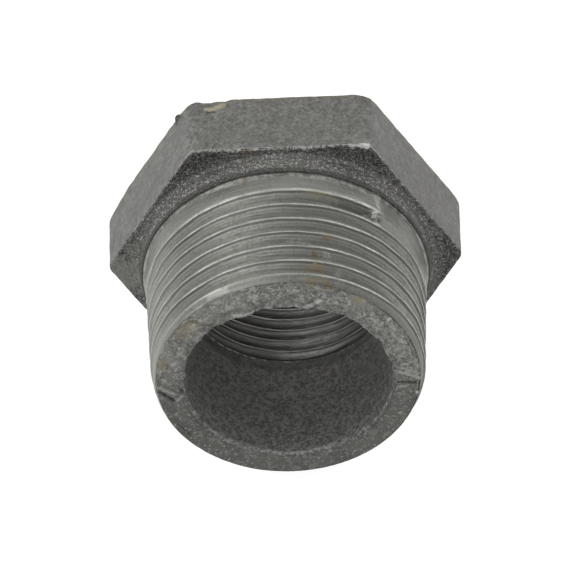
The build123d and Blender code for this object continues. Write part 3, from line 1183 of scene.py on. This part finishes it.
def fine_relief(w, cut):
    """Sand grain on the skin, strongest where it is burnt on, and tool lines on cut metal."""
    sandy = w.times(w.plus(w.times(w.grain, 0.16), w.times(w.sand, 0.08)),
                    w.plus(0.5, w.times(w.burnt, 0.9)))
    height = w.mean(cut, sandy, w.times(cut_lines(w), 0.045))
    return w.add("ShaderNodeBump", {"Height": height, "Distance": MM, "Strength": 1.0})


def cut_lines(w):
    """The tool's fine lines round the axis, as a number between 0 and 1."""
    return w.noise(w.xyz(w.times(w.turn, 1.6), w.times(w.y, 5.0), 0.0), 1.0, 3.0, 0.75)


def thread_colour(w, crest, pitch, runout=None):
    """Cut metal by its place between crest and root, with painted shade in the root, a painted highlight
    on the crest and lines that come and go along the thread.
    runout is the angle where the outside thread's last groove stops, and None inside."""
    turns = w.over(w.turn, math.tau)
    wound = w.minus(w.over(w.minus(w.y, crest), pitch), turns)
    nearest = w.math("ROUND", wound)
    along = w.noise(w.xyz(w.times(w.turn, 2.5), w.times(wound, 0.8), 5.0), 1.0, 2.0, 0.6)
    phase = w.plus(w.minus(wound, nearest), 0.5, w.swing(along, 0.12))
    level = w.bands(phase, INSIDE_LINES if runout is None else OUTSIDE_LINES)
    # The crests' painted highlight, broken here and there along the thread
    highlight_breaks = w.noise(w.xyz(w.times(w.turn, 4.0), nearest, 9.0), 1.0, 2.0, 0.6)
    over = w.larger(w.minus(level, 0.5), 0.0)
    level = w.minus(level, w.times(over, w.ramp(highlight_breaks, 0.35, 0.65, 0.75, 0.0)))
    if runout is not None:
        # Beyond the last groove the shank is plain, and its shade even.
        groove = w.plus(w.math("FLOOR", wound), 0.5, turns)
        land = w.math("GREATER_THAN", groove, runout / math.tau - 0.5)
        past_crest = w.larger(w.ramp(wound, 0.08, 0.2),
                              w.ramp(w.turn, runout + math.radians(2.5), runout + math.radians(5.5)))
        level = w.mean(w.times(land, past_crest), level, 0.38)
    faded = w.ramp(w.size(w.turn), 0.35, 1.1, 0.35, 1.0)
    level = w.plus(level, w.swing(cut_lines(w), w.times(faded, 1.1)))
    kind = "inside_" if runout is None else ""
    # Painted shade towards the root, and a painted highlight towards the crest
    tone = w.tint(w.rgb[kind + "root"], w.ramp(level, 0.0, 0.5, smooth=False), kind + "thread")
    return w.tint(tone, w.ramp(level, 0.5, 1.0, smooth=False), kind + "crest")


class BUSHING_OT_finish(bpy.types.Operator):
    """Puts the finished casting on its body in place of the plain solid"""
    bl_idname = "bushing.finish"
    bl_label = "Finish the bushing"

    def execute(self, context):
        piece = casting()
        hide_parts(NODE)
        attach(piece, BODY)
        return {"FINISHED"}


# ---------------------------------------------------------------- stage

# Soft boxes: (name, place and side in metres, the name of the power's property)
LAMPS = (
    ("left_box", (-0.35, 0.05, 0.28), 0.35, "key_power"),
    ("right_box", (0.35, 0.05, 0.28), 0.35, "fill_power"),
    ("top_box", (0.0, 0.15, 0.45), 0.4, "top_power"),
    ("front_box", (-0.2, -0.42, 0.3), 0.35, "front_power"),
)
# The point in the middle of the view, and the picture's shift from it to the right and up
VIEW_MIDDLE = (0.0, 1.95 * MM, 0.0)
VIEW_SHIFT = (0.119 * MM, 0.382 * MM)


def floor_material():
    """A white floor to the camera and in gloss, with a soft shadow from the light on it."""
    material = bpy.data.materials.new("studio_floor")
    w = Wiring(empty_tree(material))
    shadowed = 0.2              # share of the white that the lamps give, and that a shadow takes
    rays = w.tree.nodes.new("ShaderNodeLightPath").outputs
    seen = w.larger(rays["Is Camera Ray"], rays["Is Glossy Ray"], rays["Is Transmission Ray"])
    plain = w.add("ShaderNodeBsdfDiffuse", {"Color": (0.6, 0.6, 0.6, 1.0)})
    lit = w.add("ShaderNodeBsdfDiffuse", {"Color": (shadowed, shadowed, shadowed, 1.0)})
    glow = w.add("ShaderNodeEmission", {"Strength": 1.0 - shadowed / 2})
    white = w.add("ShaderNodeAddShader", {0: lit, 1: glow})
    finish_shader(w, "Material", w.add("ShaderNodeMixShader", {0: seen, 1: plain, 2: white}))
    return material


def soft_box(name, place, side, power):
    """A square area lamp that faces the origin."""
    lamp = bpy.data.lights.new(name, "AREA")
    lamp.shape = "SQUARE"
    lamp.size = side
    lamp.energy = power
    box = bpy.data.objects.new(name, lamp)
    box.location = place
    box.rotation_euler = (-Vector(place)).to_track_quat("-Z", "Y").to_euler()
    bpy.context.collection.objects.link(box)


def surround(strength):
    """A plain grey surround that the camera sees as white."""
    world = bpy.data.worlds.new("studio")
    w = Wiring(empty_tree(world))
    rays = w.tree.nodes.new("ShaderNodeLightPath").outputs
    level = w.ramp(rays["Is Camera Ray"], 0.0, 1.0, strength, 1.0, smooth=False)
    background = w.add("ShaderNodeBackground", {"Color": (1.0, 1.0, 1.0, 1.0), "Strength": level})
    finish_shader(w, "World", background)
    bpy.context.scene.world = world


class BUSHING_OT_set_stage(bpy.types.Operator):
    """Lays the floor and sets the lamps and the camera"""
    bl_idname = "bushing.set_stage"
    bl_label = "Set the stage"

    def execute(self, context):
        stage = context.scene.bushing_stage
        half = stage.floor_size / 2
        mesh = bpy.data.meshes.new("studio_floor")
        corners = [(-half, -half), (half, -half), (half, half), (-half, half)]
        mesh.from_pydata([(x, y, LOW.z) for x, y in corners], [], [(0, 1, 2, 3)])
        mesh.materials.append(floor_material())
        floor = bpy.data.objects.new("studio_floor", mesh)
        context.collection.objects.link(floor)

        for name, place, side, power in LAMPS:
            soft_box(name, place, side, getattr(stage, power))
        surround(stage.ambient)
        self.camera(context, stage)
        context.scene.view_settings.view_transform = "Standard"
        return {"FINISHED"}

    def camera(self, context, stage):
        """A long lens, looking down on the male end."""
        azimuth, elevation, roll = stage.azimuth, stage.elevation, stage.roll
        forward = Vector((math.sin(azimuth) * math.cos(elevation),
                          math.cos(azimuth) * math.cos(elevation), -math.sin(elevation)))
        level = Vector((math.cos(azimuth), -math.sin(azimuth), 0.0))
        upright = level.cross(forward)
        right = level * math.cos(roll) + upright * math.sin(roll)
        up = upright * math.cos(roll) - level * math.sin(roll)
        aim = Vector(VIEW_MIDDLE) - right * VIEW_SHIFT[0] - up * VIEW_SHIFT[1]
        camera = bpy.data.cameras.new("camera")
        camera.lens = stage.lens
        camera.sensor_width = 36.0
        camera.clip_start = 0.05
        view = bpy.data.objects.new("camera", camera)
        turn = Matrix((right, up, -forward)).transposed()
        view.matrix_world = Matrix.Translation(aim - forward * stage.distance) @ turn.to_4x4()
        context.collection.objects.link(view)
        context.scene.camera = view


# ---------------------------------------------------------------- panel and main

STEPS = (
    BUSHING_OT_cast_blank,
    BUSHING_OT_cut_male_thread,
    BUSHING_OT_cut_female_thread,
    BUSHING_OT_roughen_skin,
    BUSHING_OT_finish,
    BUSHING_OT_set_stage,
)


class BUSHING_PT_panel(bpy.types.Panel):
    """The steps and sizes of the bushing, in the order they are used"""
    bl_idname = "BUSHING_PT_panel"
    bl_label = "Hex bushing"
    bl_space_type = "VIEW_3D"
    bl_region_type = "UI"
    bl_category = "Bushing"

    def draw(self, context):
        for step in STEPS:
            self.layout.operator(step.bl_idname)
        for name, group in GROUPS.items():
            box = self.layout.box()
            sizes = getattr(context.scene, name)
            for field in group.__annotations__:
                box.prop(sizes, field)


CLASSES = (*GROUPS.values(), *STEPS, BUSHING_PT_panel)


def register():
    for item in CLASSES:
        bpy.utils.register_class(item)
    for name, group in GROUPS.items():
        setattr(bpy.types.Scene, name, PointerProperty(type=group))


def unregister():
    for name in GROUPS:
        delattr(bpy.types.Scene, name)
    for item in reversed(CLASSES):
        bpy.utils.unregister_class(item)


def main():
    register()
    bpy.ops.bushing.cast_blank()
    bpy.ops.bushing.cut_male_thread()
    bpy.ops.bushing.cut_female_thread()
    bpy.ops.bushing.roughen_skin()
    bpy.ops.bushing.finish()
    bpy.ops.bushing.set_stage()


if __name__ == "__main__":
    main()
